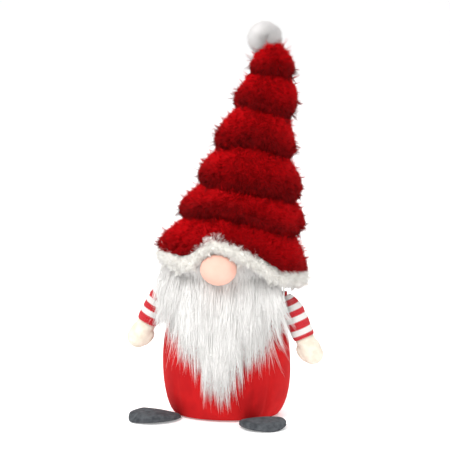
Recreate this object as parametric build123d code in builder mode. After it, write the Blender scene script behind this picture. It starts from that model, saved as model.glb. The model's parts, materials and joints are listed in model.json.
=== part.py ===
"""A stuffed tomte gnome: a weighted red body, a ball nose and a long beard, knitted arms with
mittens, flat feet, and a tall wired plush hat with a furry brim and a pompom.

The gnome stands on Z = 0 and looks along -Y, so its own left is on +X. Sizes are in millimetres.
Body, beard and hat are revolved round and then narrowed front to back by one ratio as they are
saved, because a stuffed bag of this kind is flatter than it is wide. Every soft piece is a cover,
a shell of cloth, around a filling."""

from build123d import *
from math import cos, radians, sin, tan
import os

os.makedirs("parts", exist_ok=True)

# ---- cloth, thread and clearances ----
cloth = 1.6  # velour, knit and felt
plush_cloth = 4.0  # hat cloth with the packed foot of its pile
clearance = 0.3  # between a filling and its cover, and between layers that lie together
wire_radius = 1.1
depth_ratio = 0.86  # front to back size of the body and hat over their width
reach = 200.0  # long enough to cut right through the gnome

# ---- body ----
body_height = 210.0
body_half_width = 76.0
widest_height = 62.0
base_flat = 54.0  # radius of the flat patch it stands on
shoulder_half_width = 71.0
shoulder_height = 112.0
neck_half_width = 55.0
neck_drop = 38.0  # from the top of the body
card_radius = 47.0
card_thickness = 1.5
pouch_radius = 50.0
pouch_height = 30.0
pouch_edge = 7.5
pouch_cloth = 0.8

# ---- face ----
nose_half_width = 22.0
nose_half_height = 19.0
nose_half_depth = 19.0
nose_drop = 22.0  # from the top of the body to the middle of the nose
nose_forward = 65.0
nose_rear = 48.0  # the nose is flat where its gathers are tied
gathers_radius = 6.0
gathers_length = 3.0
backing = 1.5
pile_at_mouth = 11.0
pile_at_tip = 5.0
beard_drop = 45.0  # from the top of the body to the top of the beard
beard_top_half_width = 50.0
beard_wide_height = 120.0
beard_half_width = 54.0
beard_tip_height = 16.0
beard_tip_half_width = 16.0

# ---- arms ----
sleeve_length = 56.0
sleeve_radius = 13.5
sleeve_top_radius = 5.0
sleeve_spread = 22.0  # how far down the sleeve reaches its full size
sleeve_start = 4.2  # from the middle of the seam to the gathered top of the sleeve
hand_length = 36.0
hand_radius = 13.0
wrist_radius = 10.0
thumb_radius = 7.5
thumb_out = 9.0
thumb_down = 20.0
tab_radius = 3.5
tab_end = 1.0  # the tab runs this far past the middle of the seam
shoulder_forward = 22.0
right_shoulder_drop = 58.0  # from the top of the body to the middle of the seam
right_seam_out = 15.5  # from the body's skin to the middle of the seam
right_arm_tilt = 23.1
left_shoulder_drop = 46.0
left_seam_out = 11.7
left_arm_tilt = 27.2

# ---- feet ----
foot_length = 66.0
toe_radius = 28.0
toe_thickness = 14.0
heel_radius = 12.0
heel_thickness = 7.0
foot_edge = 2.5
heel_gap = 3.0  # from the body to the heel, at the height of the hinge
right_foot_turn = 35.0
left_foot_turn = 56.0

# ---- hat ----
skirt_tilt = 10.0
skirt_radius = 79.0
skirt_foot_radius = 76.0
skirt_shoulder_share = 0.86  # radius of its shoulder over its widest radius
skirt_rounding = (14, 20, 0.5)  # at its shoulder, its belly and its edge
skirt_belly = 27.0  # how far below its fold it is widest
skirt_height = 62.0
stuffing_height = 42.0  # how far down the skirt its stuffing reaches
lower_fold_side = 16.0  # X of the middle of the fold above the skirt
lower_fold_rise = 21.0  # from the top of the body to that fold
middle_tilt = 10.8
middle_length = 90.6
middle_radii = (58.0, 36.0)  # at its lower and upper fold
middle_bulges = ((66.0, 22.0), (49.0, 38.0), (54.0, 52.0))  # radius, height: bulge, crease, bulge
middle_rounding = (6, 8, 3, 8, 8)
upper_tilt = 12.8
upper_length = 99.0
upper_radii = (32.0, 15.0)
upper_bulges = ((40.0, 17.0), (25.0, 50.0), (30.0, 62.0))
upper_rounding = (5, 7, 4, 6, 4)
tip_tilt = 4.0
tip_length = 20.0
tip_radii = (13.0, 8.0)
tip_bulges = ((17.0, 8.0),)
tip_rounding = (2, 3, 3)
fold_gap = 1.6  # half of the space at the middle of a fold
fold_slope = 9.0  # degrees; the two sides of a fold open outwards, so that it can bend
throat = 8.0  # radius of the passage through a fold
lining_share = 0.915  # inside of a stuffed length's cover over its outside
tip_lining_share = 0.8
filling_share = 0.985  # filling over the inside of its cover
brim_height = 24.0
brim_thickness = 8.0
arch_half_width = 30.0  # the brim rises over the nose
arch_height = 24.0
arch_top_drop = 2.0  # from the top of the body
arch_start = 26.0  # the arch is open in front of this
base_wire_length = 18.0
wire_end_gap = 1.0
pompom_radius = 21.0
pompom_core_radius = 5.0
pompom_offset = (-12.3, 14.0, 18.2)  # from the top of the hat's tip
tie_radius = 0.8

# ---- heights that follow the body's ----
neck_height = body_height - neck_drop
nose_height = body_height - nose_drop
beard_height = body_height - beard_drop
arch_foot = body_height - arch_top_drop - arch_height
lower_fold_height = body_height + lower_fold_rise


def save(piece, name, place=Location(), flatten=False):
    """Puts a finished piece in place, narrows it front to back if it is part of the body or the
    hat, labels it and writes it as one node."""
    with BuildPart() as finished:
        add(piece.part.moved(place))
        if flatten:
            scale(by=(1, depth_ratio, 1), about=(0, 0, 0))
    finished.part.label = name
    export_step(finished.part, f"parts/{name}.step")


# ---- the body's form ----
def body_outline(low, high):
    """The body's half outline, inset from its skin by low at the bottom and by high at the top."""
    widest = body_half_width - low
    flat = base_flat - low
    Line((0, low), (flat, low))
    EllipticalCenterArc(
        (flat, widest_height), widest - flat, widest_height - low, start_angle=-90, arc_size=90
    )
    Spline(
        (widest, widest_height),
        (shoulder_half_width - (low + high) / 2, shoulder_height),
        (neck_half_width - high, neck_height),
        (0, body_height - high),
        tangents=((0, 1), (-1, 0)),
    )
    Line((0, body_height - high), (0, low))


def bag(low, high=None):
    """The body's round form; a negative inset is a layer that lies over the skin."""
    with BuildPart() as form:
        with BuildSketch(Plane.XZ):
            with BuildLine():
                body_outline(low, low if high is None else high)
            make_face()
        revolve(axis=Axis.Z)
    return form.part


body_skin = bag(0)
body_room = bag(cloth)

# ---- the body: two velour panels, a base, a card, a pouch of pellets and a filling ----
for side, keep in (("front", Keep.TOP), ("back", Keep.BOTTOM)):
    with BuildPart() as body_panel:
        add(body_skin)
        add(body_room, mode=Mode.SUBTRACT)
        with Locations((0, 0, cloth / 2)):
            Cylinder(base_flat, cloth, mode=Mode.SUBTRACT)
        split(bisect_by=Plane.XZ, keep=keep)
    save(body_panel, f"body_panel_{side}", flatten=True)

up_from = (Align.CENTER, Align.CENTER, Align.MIN)
with BuildPart() as base_panel:
    with BuildSketch():
        Ellipse(base_flat - clearance, (base_flat - clearance) * depth_ratio)
    extrude(amount=cloth)
save(base_panel, "base_panel")

card_floor = cloth + clearance
with BuildPart() as base_card:
    with Locations((0, 0, card_floor)):
        Cylinder(card_radius, card_thickness, align=up_from)
save(base_card, "base_card", flatten=True)

pouch_floor = card_floor + card_thickness + clearance


def pouch(inset):
    """The pouch's cushion form, inset from its outside."""
    with BuildPart() as form:
        with Locations((0, 0, pouch_floor + inset)):
            Cylinder(pouch_radius - inset, pouch_height - 2 * inset, align=up_from)
        fillet(form.edges().filter_by(GeomType.CIRCLE), pouch_edge - inset)
    return form.part


with BuildPart() as ballast_pouch:
    add(pouch(0))
    add(pouch(pouch_cloth), mode=Mode.SUBTRACT)
save(ballast_pouch, "ballast_pouch", flatten=True)

with BuildPart() as ballast_pellets:
    add(pouch(pouch_cloth + clearance))
save(ballast_pellets, "ballast_pellets", flatten=True)

with BuildPart() as body_filling:
    add(bag(cloth + clearance))
    Cylinder(reach, pouch_floor + pouch_height + clearance, align=up_from, mode=Mode.SUBTRACT)
save(body_filling, "body_filling", flatten=True)


# ---- the nose: a gathered ball of stretch cloth ----
def nose(inset):
    """The nose's form, an egg that is cut flat where its gathers are tied."""
    with BuildPart() as egg:
        Sphere(1)
        scale(by=(nose_half_width - inset, nose_half_depth - inset, nose_half_height - inset))
        split(bisect_by=Plane.XZ.offset(nose_rear - nose_forward + inset), keep=Keep.TOP)
    return egg.part


nose_place = Location((0, -nose_forward, nose_height))
with BuildPart() as nose_cover:
    add(nose(0))
    add(nose(cloth), mode=Mode.SUBTRACT)
save(nose_cover, "nose_cover", nose_place)

with BuildPart() as nose_filling:
    add(nose(cloth + clearance))
save(nose_filling, "nose_filling", nose_place)

with BuildPart() as nose_gathers:
    with BuildSketch(Plane.XZ.offset(nose_rear - clearance)):
        with Locations((0, nose_height)):
            Circle(gathers_radius)
    extrude(amount=-gathers_length)
save(nose_gathers, "nose_gathers")


# ---- the beard: a felt backing and the pile on it, both laid over the body's front ----
def beard_front():
    """A prism of the beard's outline seen from in front."""
    right_edge = (
        (beard_tip_half_width, beard_tip_height),
        (beard_half_width, beard_wide_height),
        (beard_top_half_width, beard_height),
    )
    left_edge = [(-x, z) for x, z in reversed(right_edge)]
    with BuildPart() as prism:
        with BuildSketch(Plane.XZ):
            with BuildLine():
                Polyline(*right_edge, *left_edge, close=True)
            make_face()
        extrude(amount=reach)
    return prism.part


with BuildPart() as beard_backing:
    add(bag(-clearance - backing))
    add(bag(-clearance), mode=Mode.SUBTRACT)
    add(beard_front(), mode=Mode.INTERSECT)
save(beard_backing, "beard_backing", flatten=True)

pile_foot = clearance + backing + clearance
with BuildPart() as beard_pile:
    add(bag(-pile_foot - pile_at_tip, -pile_foot - pile_at_mouth))
    add(bag(-pile_foot), mode=Mode.SUBTRACT)
    add(beard_front(), mode=Mode.INTERSECT)
save(beard_pile, "beard_pile", flatten=True)


# ---- the arms: a tab at the shoulder, a knitted sleeve and a mitten, both stuffed ----
def sleeve_form(inset):
    """The sleeve's form, hanging from the middle of its shoulder seam at the origin."""
    with BuildPart() as form:
        with BuildSketch(Plane.XZ):
            with BuildLine():
                Polyline(
                    (0, -sleeve_start - inset),
                    (sleeve_top_radius - inset, -sleeve_start - inset),
                    (sleeve_radius - inset, -sleeve_spread),
                    (sleeve_radius - inset, -sleeve_length + inset),
                    (0, -sleeve_length + inset),
                    close=True,
                )
            make_face()
        revolve(axis=Axis.Z)
    return form.part


def hand_form(inset):
    """The mitten's form below the cuff, with its thumb on the -X side."""
    top = -sleeve_length - clearance
    radius = hand_radius - inset
    round_centre = top - hand_length + hand_radius
    with BuildPart() as form:
        with BuildSketch(Plane.XZ):
            with BuildLine():
                Line((0, top - inset), (wrist_radius - inset, top - inset))
                Line((wrist_radius - inset, top - inset), (radius, round_centre))
                CenterArc((0, round_centre), radius, start_angle=-90, arc_size=90)
                Line((0, round_centre - radius), (0, top - inset))
            make_face()
        revolve(axis=Axis.Z)
        with Locations((-thumb_out, 0, top - thumb_down)):
            Sphere(thumb_radius - inset)
    return form.part


def skin_out(height, forward):
    """How far out the body's skin is at a height and a distance forward."""
    line = Edge.make_line((0, 0, height), (reach, 0, height))
    radius = body_skin.intersect(line)[0].length
    return (radius**2 - (forward / depth_ratio) ** 2) ** 0.5


arms = (
    ("right", 1, right_shoulder_drop, right_seam_out, right_arm_tilt),
    ("left", -1, left_shoulder_drop, left_seam_out, left_arm_tilt),
)
for side, out, drop, seam_out, tilt in arms:
    seam_height = body_height - drop
    skin = skin_out(seam_height - tab_radius, shoulder_forward - tab_radius)
    seam = (out * (skin + seam_out), -shoulder_forward, seam_height)
    thumb_turn = 0 if out > 0 else 180  # turns the thumb towards the body
    arm_place = Location(seam, (0, -out * tilt, 0)) * Location((0, 0, 0), (0, 0, thumb_turn))

    with BuildPart() as shoulder_tab:
        Cylinder(tab_radius, seam_out + tab_end, align=up_from)
    tab_place = Location((out * skin, -shoulder_forward, seam_height), (0, out * 90, 0))
    save(shoulder_tab, f"{side}_shoulder_tab", tab_place)

    with BuildPart() as sleeve:
        add(sleeve_form(0))
        add(sleeve_form(cloth), mode=Mode.SUBTRACT)
    save(sleeve, f"{side}_sleeve", arm_place)

    with BuildPart() as sleeve_filling:
        add(sleeve_form(cloth + clearance))
    save(sleeve_filling, f"{side}_sleeve_filling", arm_place)

    with BuildPart() as hand:
        add(hand_form(0))
        add(hand_form(cloth), mode=Mode.SUBTRACT)
    save(hand, f"{side}_hand", arm_place)

    with BuildPart() as hand_filling:
        add(hand_form(cloth + clearance))
    save(hand_filling, f"{side}_hand_filling", arm_place)


# ---- the feet: flat felt pads that hang from a seam at the heel ----
def foot_form(inset):
    """The foot's form, lying on its sole with its heel at the origin and its toe along -Y."""
    with BuildPart() as form:
        with BuildSketch(Plane.XY.offset(inset)):
            with Locations((0, -heel_radius)):
                Circle(heel_radius - inset)
            with Locations((0, -foot_length + toe_radius)):
                Circle(toe_radius - inset)
            make_hull()
        extrude(amount=toe_thickness)
        slope = Plane((0, 0, heel_thickness - inset), z_dir=(0, heel_rise, 1))
        split(bisect_by=slope, keep=Keep.BOTTOM)
        fillet(form.faces().sort_by(Axis.Z)[-1].edges(), foot_edge)
    return form.part


heel_rise = (toe_thickness - heel_thickness) / foot_length
for side, out, turn in (("right", 1, right_foot_turn), ("left", -1, left_foot_turn)):
    heel_height = widest_height - heel_thickness / 2
    body_edge = base_flat + (body_half_width - base_flat) * (
        1 - (heel_height / widest_height) ** 2
    ) ** 0.5
    across = sin(radians(turn)) / body_edge
    along = cos(radians(turn)) / (body_edge * depth_ratio)
    heel_out = 1 / (across**2 + along**2) ** 0.5 + heel_gap
    heel = (out * heel_out * sin(radians(turn)), -heel_out * cos(radians(turn)), 0)
    foot_place = Location(heel, (0, 0, out * turn))

    with BuildPart() as foot_sole:
        add(foot_form(0))
        split(bisect_by=Plane.XY.offset(cloth), keep=Keep.BOTTOM)
    save(foot_sole, f"{side}_foot_sole", foot_place)

    with BuildPart() as foot_upper:
        add(foot_form(0))
        split(bisect_by=Plane.XY.offset(cloth), keep=Keep.TOP)
        add(foot_form(cloth), mode=Mode.SUBTRACT)
    save(foot_upper, f"{side}_foot_upper", foot_place)

    with BuildPart() as foot_filling:
        add(foot_form(cloth + clearance))
    save(foot_filling, f"{side}_foot_filling", foot_place)


# ---- the hat: a skirt over the head and three stuffed lengths, wired so that they stay bent ----
def fold_face(radius):
    """How far the side of a fold has opened out at a radius."""
    return fold_gap + radius * tan(radians(fold_slope))


def hat_form(points, rounding):
    """A round solid about Z whose half outline runs through points, with rounded corners."""
    with BuildPart() as form:
        with BuildSketch(Plane.XZ):
            with BuildLine():
                FilletPolyline(*points, radius=rounding)
                Line(points[-1], points[0])
            make_face()
        revolve(axis=Axis.Z)
    return form.part


def length_outline(length, radii, bulges, folded):
    """A stuffed length's half outline from its lower fold up: the face of the fold, its bulges and
    creases, and the face of the next fold or a flat top."""
    low_radius, high_radius = radii
    high_face, high_gap = (fold_face(high_radius), fold_gap) if folded else (0, 0)
    return (
        (0, fold_gap),
        (low_radius, fold_face(low_radius)),
        *bulges,
        (high_radius, length - high_face),
        (0, length - high_gap),
    )


def skirt_form(inset):
    """The skirt's form below its fold, inset from the outside of its cloth, put in place."""
    shoulder = skirt_radius * skirt_shoulder_share
    points = (
        (0, -fold_gap - inset),
        (shoulder - inset, -fold_face(shoulder) - inset),
        (skirt_radius - inset, -skirt_belly),
        (skirt_foot_radius - inset, -skirt_height),
        (0, -skirt_height),
    )
    return hat_form(points, skirt_rounding).moved(skirt_place)


def slice_of_skirt(low, high):
    """All space between two distances below the fold, square to the skirt."""
    with BuildPart() as disc:
        with Locations((0, 0, -low)):
            Cylinder(reach, low - high, align=up_from)
    return disc.part.moved(skirt_place)


def arch(wider):
    """The space in front of the face that the hat's edge leaves for the nose."""
    half_width = arch_half_width + wider
    with BuildPart() as opening:
        with BuildSketch(Plane.XZ.offset(arch_start)):
            with Locations((0, arch_foot)):
                Ellipse(half_width, arch_height + wider)
        extrude(amount=reach)
    return opening.part


def below_arch():
    """The space in front of the face below the arch."""
    with BuildPart() as opening:
        with Locations((0, -arch_start, arch_foot)):
            Box(2 * arch_half_width, reach, reach, align=(Align.CENTER, Align.MAX, Align.MAX))
    return opening.part


def wire_room(low, high, room=0.0):
    """A straight run of the hat's wire along Z, or the bore for it."""
    with BuildPart() as run:
        with Locations((0, 0, low)):
            Cylinder(wire_radius + room, high - low, align=up_from)
    return run.part


skirt_place = Location((lower_fold_side, 0, lower_fold_height), (0, skirt_tilt, 0))

with BuildPart() as hat_skirt:
    add(skirt_form(0))
    add(skirt_form(plush_cloth), mode=Mode.SUBTRACT)
    with Locations(skirt_place):
        Cylinder(throat, skirt_belly, mode=Mode.SUBTRACT)
    add(arch(0), mode=Mode.SUBTRACT)
    add(below_arch(), mode=Mode.SUBTRACT)
save(hat_skirt, "hat_skirt", flatten=True)

with BuildPart() as hat_brim:
    add(arch(brim_height - clearance))
    add(slice_of_skirt(skirt_height, skirt_height - brim_height))
    add(skirt_form(-clearance - brim_thickness), mode=Mode.INTERSECT)
    add(skirt_form(-clearance), mode=Mode.SUBTRACT)
    add(arch(0), mode=Mode.SUBTRACT)
    add(below_arch(), mode=Mode.SUBTRACT)
save(hat_brim, "hat_brim", flatten=True)

with BuildPart() as hat_base_filling:
    add(skirt_form(plush_cloth + clearance))
    add(slice_of_skirt(skirt_height + clearance, stuffing_height), mode=Mode.SUBTRACT)
    add(arch(clearance), mode=Mode.SUBTRACT)
    add(bag(-clearance), mode=Mode.SUBTRACT)
    add(wire_room(-reach / 2, 0, clearance).moved(skirt_place), mode=Mode.SUBTRACT)
save(hat_base_filling, "hat_base_filling", flatten=True)

with BuildPart() as hat_base_wire:
    add(wire_room(-base_wire_length, -wire_end_gap))
save(hat_base_wire, "hat_base_wire", skirt_place, flatten=True)

middle = (middle_length, middle_tilt, middle_radii, middle_bulges, middle_rounding, lining_share)
upper = (upper_length, upper_tilt, upper_radii, upper_bulges, upper_rounding, lining_share)
tip = (tip_length, tip_tilt, tip_radii, tip_bulges, tip_rounding, tip_lining_share)
fold_x, fold_z = lower_fold_side, lower_fold_height
for name, sizes in (("middle", middle), ("upper", upper), ("tip", tip)):
    length, tilt, radii, bulges, rounding, share = sizes
    folded = name != "tip"
    form = hat_form(length_outline(length, radii, bulges, folded), rounding)
    centre = (0, 0, length / 2)
    lining = scale(form, by=share, about=centre, mode=Mode.PRIVATE)
    stuffing = scale(form, by=share * filling_share, about=centre, mode=Mode.PRIVATE)
    place = Location((fold_x, 0, fold_z), (0, tilt, 0))
    passage_length = length if folded else length / 2

    with BuildPart() as cover:
        add(form)
        add(lining, mode=Mode.SUBTRACT)
        Cylinder(throat, passage_length, align=up_from, mode=Mode.SUBTRACT)
    save(cover, f"hat_{name}_cover", place, flatten=True)

    with BuildPart() as filling:
        add(stuffing)
        if folded:
            add(wire_room(0, length, clearance), mode=Mode.SUBTRACT)
    save(filling, f"hat_{name}_filling", place, flatten=True)

    if folded:
        with BuildPart() as wire:
            add(wire_room(wire_end_gap, length - wire_end_gap))
        save(wire, f"hat_{name}_wire", place, flatten=True)

    fold_x = fold_x + length * sin(radians(tilt))
    fold_z = fold_z + length * cos(radians(tilt))

# ---- the pompom, tied to the hat's tip ----
tip_top = Vector(fold_x, 0, fold_z + clearance)
pompom_middle = tip_top + Vector(*pompom_offset)
tie_line = Plane(pompom_middle, z_dir=tip_top - pompom_middle)
tie_start = pompom_core_radius + clearance

with BuildPart() as pompom:
    with Locations(pompom_middle):
        Sphere(pompom_radius)
        Sphere(tie_start, mode=Mode.SUBTRACT)
    with Locations(tie_line):
        Cylinder(tie_radius + clearance, pompom_radius * 2, align=up_from, mode=Mode.SUBTRACT)
save(pompom, "pompom")

with BuildPart() as pompom_core:
    with Locations(pompom_middle):
        Sphere(pompom_core_radius)
save(pompom_core, "pompom_core")

with BuildPart() as pompom_tie:
    with Locations(tie_line.offset(tie_start)):
        tie_length = (tip_top - pompom_middle).length - tie_start - 2 * clearance
        Cylinder(tie_radius, tie_length, align=up_from)
save(pompom_tie, "pompom_tie")
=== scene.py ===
# %% [markdown]
# # A stuffed tomte gnome
# The gnome is sewn from several cloths: velour for the body, a plain knit for the arms, felt for
# the mittens and feet, and plush with a long pile for the hat, the brim and the beard. Each part
# is made in the next cells the way a maker would sew it: first the stuffed form, then its pile.
# Sizes in this file are in millimetres until a mesh is made, because patterns are drawn that way.

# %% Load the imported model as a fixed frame
import bmesh
import bpy
import numpy as np
from math import cos, pi, radians, sin
from mathutils import Matrix, Vector
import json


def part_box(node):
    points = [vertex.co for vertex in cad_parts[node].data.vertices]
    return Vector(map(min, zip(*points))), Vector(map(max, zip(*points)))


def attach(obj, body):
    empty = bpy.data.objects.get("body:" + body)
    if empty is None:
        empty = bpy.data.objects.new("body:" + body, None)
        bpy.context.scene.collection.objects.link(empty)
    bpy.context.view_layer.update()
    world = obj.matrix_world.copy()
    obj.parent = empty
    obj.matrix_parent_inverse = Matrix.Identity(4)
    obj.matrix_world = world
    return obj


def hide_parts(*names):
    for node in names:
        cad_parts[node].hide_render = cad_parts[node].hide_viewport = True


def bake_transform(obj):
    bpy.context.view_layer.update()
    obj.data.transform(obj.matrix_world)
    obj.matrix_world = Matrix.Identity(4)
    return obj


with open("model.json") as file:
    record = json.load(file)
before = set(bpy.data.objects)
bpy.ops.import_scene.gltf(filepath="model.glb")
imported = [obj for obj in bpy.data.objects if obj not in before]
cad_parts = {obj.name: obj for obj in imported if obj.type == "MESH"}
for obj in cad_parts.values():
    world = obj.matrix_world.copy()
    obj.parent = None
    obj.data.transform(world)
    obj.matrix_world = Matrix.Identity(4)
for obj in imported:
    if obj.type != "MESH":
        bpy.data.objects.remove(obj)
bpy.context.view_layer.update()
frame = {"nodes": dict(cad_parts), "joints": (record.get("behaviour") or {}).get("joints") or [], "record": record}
MM = 0.001
depth_ratio = 0.86  # the body and hat are narrower front to back than side to side

# %% [markdown]
# ## The camera
# The gnome is seen from a little to its own left and a little above. A long lens from far off
# keeps the tall hat from looking bent.

# %% Set up the camera
azimuth = radians(8.5)
elevation = radians(10.0)
distance = 6.0
field_width = 0.54  # metres seen across the picture at the gnome
aim = Vector((-0.002, 0.0, 0.2298))
away = Vector((sin(azimuth) * cos(elevation), -cos(azimuth) * cos(elevation), sin(elevation)))
lens = bpy.data.cameras.new("camera")
lens.sensor_width = 36.0
lens.lens = lens.sensor_width * distance / field_width
camera = bpy.data.objects.new("camera", lens)
camera.location = aim + away * distance
camera.rotation_euler = (-away).to_track_quat("-Z", "Y").to_euler()
bpy.context.collection.objects.link(camera)
bpy.context.scene.camera = camera
print("camera", camera.location[:], "lens", lens.lens)

# %% [markdown]
# ## Lights and floor
# Large soft lights give pile its even, fluffy look. The key light at the upper left shapes the
# folds, a weak fill opens their shadows, a light behind draws the fluffy edge, and a faint one in
# front lifts the beard. The floor glows a little, so that it is as pale as the sky behind it.


# %% Set up soft lights and a pale floor
def area_light(name, place, size, power):
    """A square soft light that shines at the middle of the gnome."""
    light = bpy.data.lights.new(name, "AREA")
    light.size = size
    light.energy = power
    lamp = bpy.data.objects.new(name, light)
    lamp.location = place
    lamp.rotation_euler = (aim - Vector(place)).to_track_quat("-Z", "Y").to_euler()
    bpy.context.collection.objects.link(lamp)
    return lamp


area_light("key_light", (-0.9, -1.3, 1.9), 0.9, 34)
area_light("fill_light", (1.6, -1.5, 0.9), 1.4, 9)
area_light("back_light", (0.3, 1.5, 1.6), 1.2, 20)
area_light("front_light", (0.3, -2.2, 0.7), 1.6, 6)

world = bpy.data.worlds.new("studio")
world.use_nodes = True
sky = world.node_tree.nodes["Background"]
sky.inputs["Color"].default_value = (1.0, 1.0, 1.0, 1.0)
# the sky lights the gnome gently, and is plain white where the camera sees it
seen = world.node_tree.nodes.new("ShaderNodeLightPath")
strength = world.node_tree.nodes.new("ShaderNodeMapRange")
strength.inputs["To Min"].default_value = 0.78
strength.inputs["To Max"].default_value = 1.0
world.node_tree.links.new(seen.outputs["Is Camera Ray"], strength.inputs["Value"])
world.node_tree.links.new(strength.outputs["Result"], sky.inputs["Strength"])
bpy.context.scene.world = world
bpy.context.scene.view_settings.view_transform = "Standard"

floor_form = bmesh.new()
bmesh.ops.create_grid(floor_form, x_segments=1, y_segments=1, size=60.0)
floor_mesh = bpy.data.meshes.new("floor")
floor_form.to_mesh(floor_mesh)
floor_form.free()
floor = bpy.data.objects.new("floor", floor_mesh)
floor.location.z = -0.0005
bpy.context.collection.objects.link(floor)
print("lights", len(bpy.data.lights))

# %% [markdown]
# ## Finishes
# Every finish is worked out by nodes, so it needs no picture. Pile carries two numbers on its
# points: `along`, which runs from 0 at a fibre's root to 1 at its tip, and `tone`, which differs
# from tuft to tuft and on the hat also carries painted light and shade of the folds. Roots are
# painted darker than tips, a painted shade for the little light that gets down to them.


# %% Helpers that build a finish
def new_finish(name, roughness=0.8, sheen=0.0, sheen_tint=(1, 1, 1), specular=0.3):
    """A material and its shader, with the values that are even all over set on the shader."""
    material = bpy.data.materials.new(name)
    material.use_nodes = True
    shader = material.node_tree.nodes["Principled BSDF"]
    shader.inputs["Roughness"].default_value = roughness
    shader.inputs["Specular IOR Level"].default_value = specular
    shader.inputs["Sheen Weight"].default_value = sheen
    shader.inputs["Sheen Roughness"].default_value = 0.5
    shader.inputs["Sheen Tint"].default_value = (*sheen_tint, 1)
    return material, shader


def add_node(material, kind, **values):
    """A node in a material, with its input sockets set by name."""
    node = material.node_tree.nodes.new(kind)
    for socket, value in values.items():
        node.inputs[socket.replace("_", " ")].default_value = value
    return node


def join(material, source, target):
    """A link between two sockets."""
    material.node_tree.links.new(source, target)


# %% [markdown]
# ## Colour and height over a finish
# Cloth is never one flat colour. Noise read on the object's own coordinates gives patches of two
# shades and the fine raised surface, and colour ramps turn any number into a colour.


# %% Helpers that spread colour and height over a finish
def ramp(material, source, stops):
    """Colours spread along a number, given as (position, colour) stops."""
    node = material.node_tree.nodes.new("ShaderNodeValToRGB")
    while len(node.color_ramp.elements) < len(stops):
        node.color_ramp.elements.new(0.5)
    for element, (position, colour) in zip(node.color_ramp.elements, stops):
        element.position = position
        element.color = (*colour, 1)
    join(material, source, node.inputs["Fac"])
    return node.outputs["Color"]


def noise(material, scale, detail=3.0, stretch=(1, 1, 1)):
    """Noise over the object's own coordinates, in waves of about 1 / scale metres."""
    place = material.node_tree.nodes.new("ShaderNodeTexCoord")
    mapping = add_node(material, "ShaderNodeMapping", Scale=stretch)
    texture = add_node(material, "ShaderNodeTexNoise", Scale=scale, Detail=detail)
    join(material, place.outputs["Object"], mapping.inputs["Vector"])
    join(material, mapping.outputs["Vector"], texture.inputs["Vector"])
    return texture.outputs["Fac"]


def mix_colours(material, factor, first, second, blend="MIX"):
    """Two colours mixed by a factor, which is a socket or a number."""
    node = material.node_tree.nodes.new("ShaderNodeMix")
    node.data_type = "RGBA"
    node.blend_type = blend
    for value, index in ((factor, 0), (first, 6), (second, 7)):
        if isinstance(value, bpy.types.NodeSocket):
            join(material, value, node.inputs[index])
        else:
            node.inputs[index].default_value = value if index == 0 else (*value, 1)
    return node.outputs[2]


def roughen(material, shader, height, strength, depth):
    """Bumps on the surface from a height."""
    bump = add_node(material, "ShaderNodeBump", Strength=strength, Distance=depth)
    join(material, height, bump.inputs["Height"])
    join(material, bump.outputs["Normal"], shader.inputs["Normal"])


def attribute(material, name):
    """A number that the mesh carries on its points."""
    node = material.node_tree.nodes.new("ShaderNodeAttribute")
    node.attribute_name = name
    return node.outputs["Fac"]


# %% [markdown]
# ## Pile finishes
# The hat's pile is deep, so its roots are painted a dark red as painted shade, and painted shade
# makes its darkest tufts lie in the folds. The white piles are short or loose, and stay pale down
# to their roots, with only a little painted shade there.


# %% Pile finishes
def pile_finish(name, root, middle, tip, dim, sheen=0.1, roughness=0.6):
    """Fibre that lightens from a painted-shade root to its tip; dim is how dark the darkest tufts are."""
    material, shader = new_finish(name, roughness, sheen, tip, 0.08)
    # painted shade: the fibre's colour darkens towards its root, where little light gets down
    fibre = ramp(material, attribute(material, "along"), ((0.0, root), (0.45, middle), (1.0, tip)))
    # tone darkens tufts at random and, on the hat, as painted shade in the folds
    tufts = ramp(material, attribute(material, "tone"), ((0.0, (dim, dim, dim)), (1.0, (1, 1, 1))))
    join(material, mix_colours(material, 1.0, fibre, tufts, "MULTIPLY"), shader.inputs["Base Color"])
    return material


# the first colour of each pile is its root colour, darkened as painted shade
hat_pile = pile_finish(
    "hat_pile", (0.20, 0.0, 0.001), (0.54, 0.001, 0.004), (0.80, 0.001, 0.005), dim=0.20, sheen=0.0
)
brim_pile = pile_finish(
    "brim_pile", (0.90, 0.87, 0.80), (0.97, 0.95, 0.90), (1.0, 0.99, 0.96), dim=0.92, sheen=0.2
)
pompom_pile = pile_finish(
    "pompom_pile", (0.74, 0.71, 0.70), (0.84, 0.82, 0.81), (0.90, 0.88, 0.87), dim=0.85
)
beard_fibre = pile_finish(
    "beard_fibre", (0.88, 0.86, 0.84), (0.96, 0.95, 0.93), (0.98, 0.97, 0.95), dim=0.84, roughness=0.5
)
print("pile finishes", [finish.name for finish in (hat_pile, brim_pile, pompom_pile, beard_fibre)])

# %% [markdown]
# ## Cloth finishes
# Velour, felt and stretch cloth differ in their two shades, in how large the patches are and in how
# coarse the surface is. The same helper also serves the stuffing, card and pellets inside.


# %% Cloth finishes
def cloth_finish(name, dark, light, wave, weave, depth, sheen=0.2, roughness=0.85):
    """Felt, velour or stretch cloth: soft patches of two shades and a fine raised surface."""
    material, shader = new_finish(name, roughness, sheen, light, 0.15)
    patches = ramp(material, noise(material, wave, 4.0), ((0.35, dark), (0.65, light)))
    join(material, patches, shader.inputs["Base Color"])
    roughen(material, shader, noise(material, weave, 5.0), 0.5, depth)
    return material


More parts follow.
